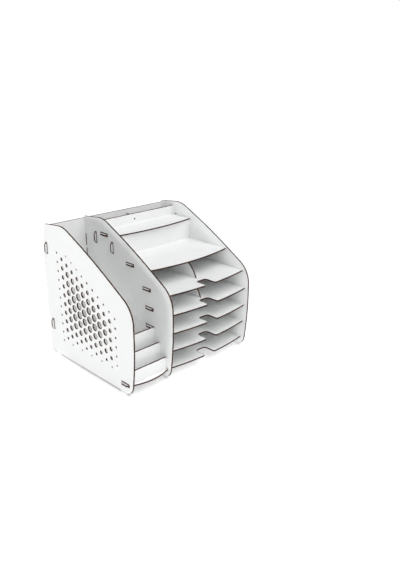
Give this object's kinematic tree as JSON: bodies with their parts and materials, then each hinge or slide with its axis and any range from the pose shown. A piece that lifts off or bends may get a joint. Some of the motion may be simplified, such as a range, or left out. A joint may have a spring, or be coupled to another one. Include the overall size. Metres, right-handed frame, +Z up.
{
  "type": "desk organizer",
  "caption": "White board desk organizer with a file section, stepped card boards, notched paper trays, a step shelf and a pen well, joined by tabs in slots.",
  "frame": {"origin": "centre of the footprint, on the table that the feet stand on", "axes": "+X to the right seen from the front, +Y to the back, +Z up"},
  "size_m": [0.3676, 0.326, 0.3333],
  "materials": {
    "board_side": "white-faced thin fibreboard, satin, with dark cut edges",
    "board_flat": "white-faced thin fibreboard, satin, with dark cut edges",
    "board_across": "white-faced thin fibreboard, satin, with dark cut edges"
  },
  "bodies": {
    "root": {"left_side_panel": "board_side", "divider_panel": "board_side", "right_side_panel": "board_side", "tray_back_panel": "board_across", "file_back_panel": "board_across", "tray_shelf_1": "board_flat", "tray_shelf_2": "board_flat", "tray_shelf_3": "board_flat", "tray_shelf_4": "board_flat", "tray_shelf_5": "board_flat", "step_shelf": "board_flat", "file_floor": "board_flat", "card_board_1": "board_across", "card_board_2": "board_across", "card_board_3": "board_across", "pen_board": "board_across", "ledge_shelf": "board_flat", "riser_board": "board_across", "pen_partition": "board_side", "upper_row_divider": "board_side", "lower_row_divider": "board_side"}
  },
  "joints": []
}
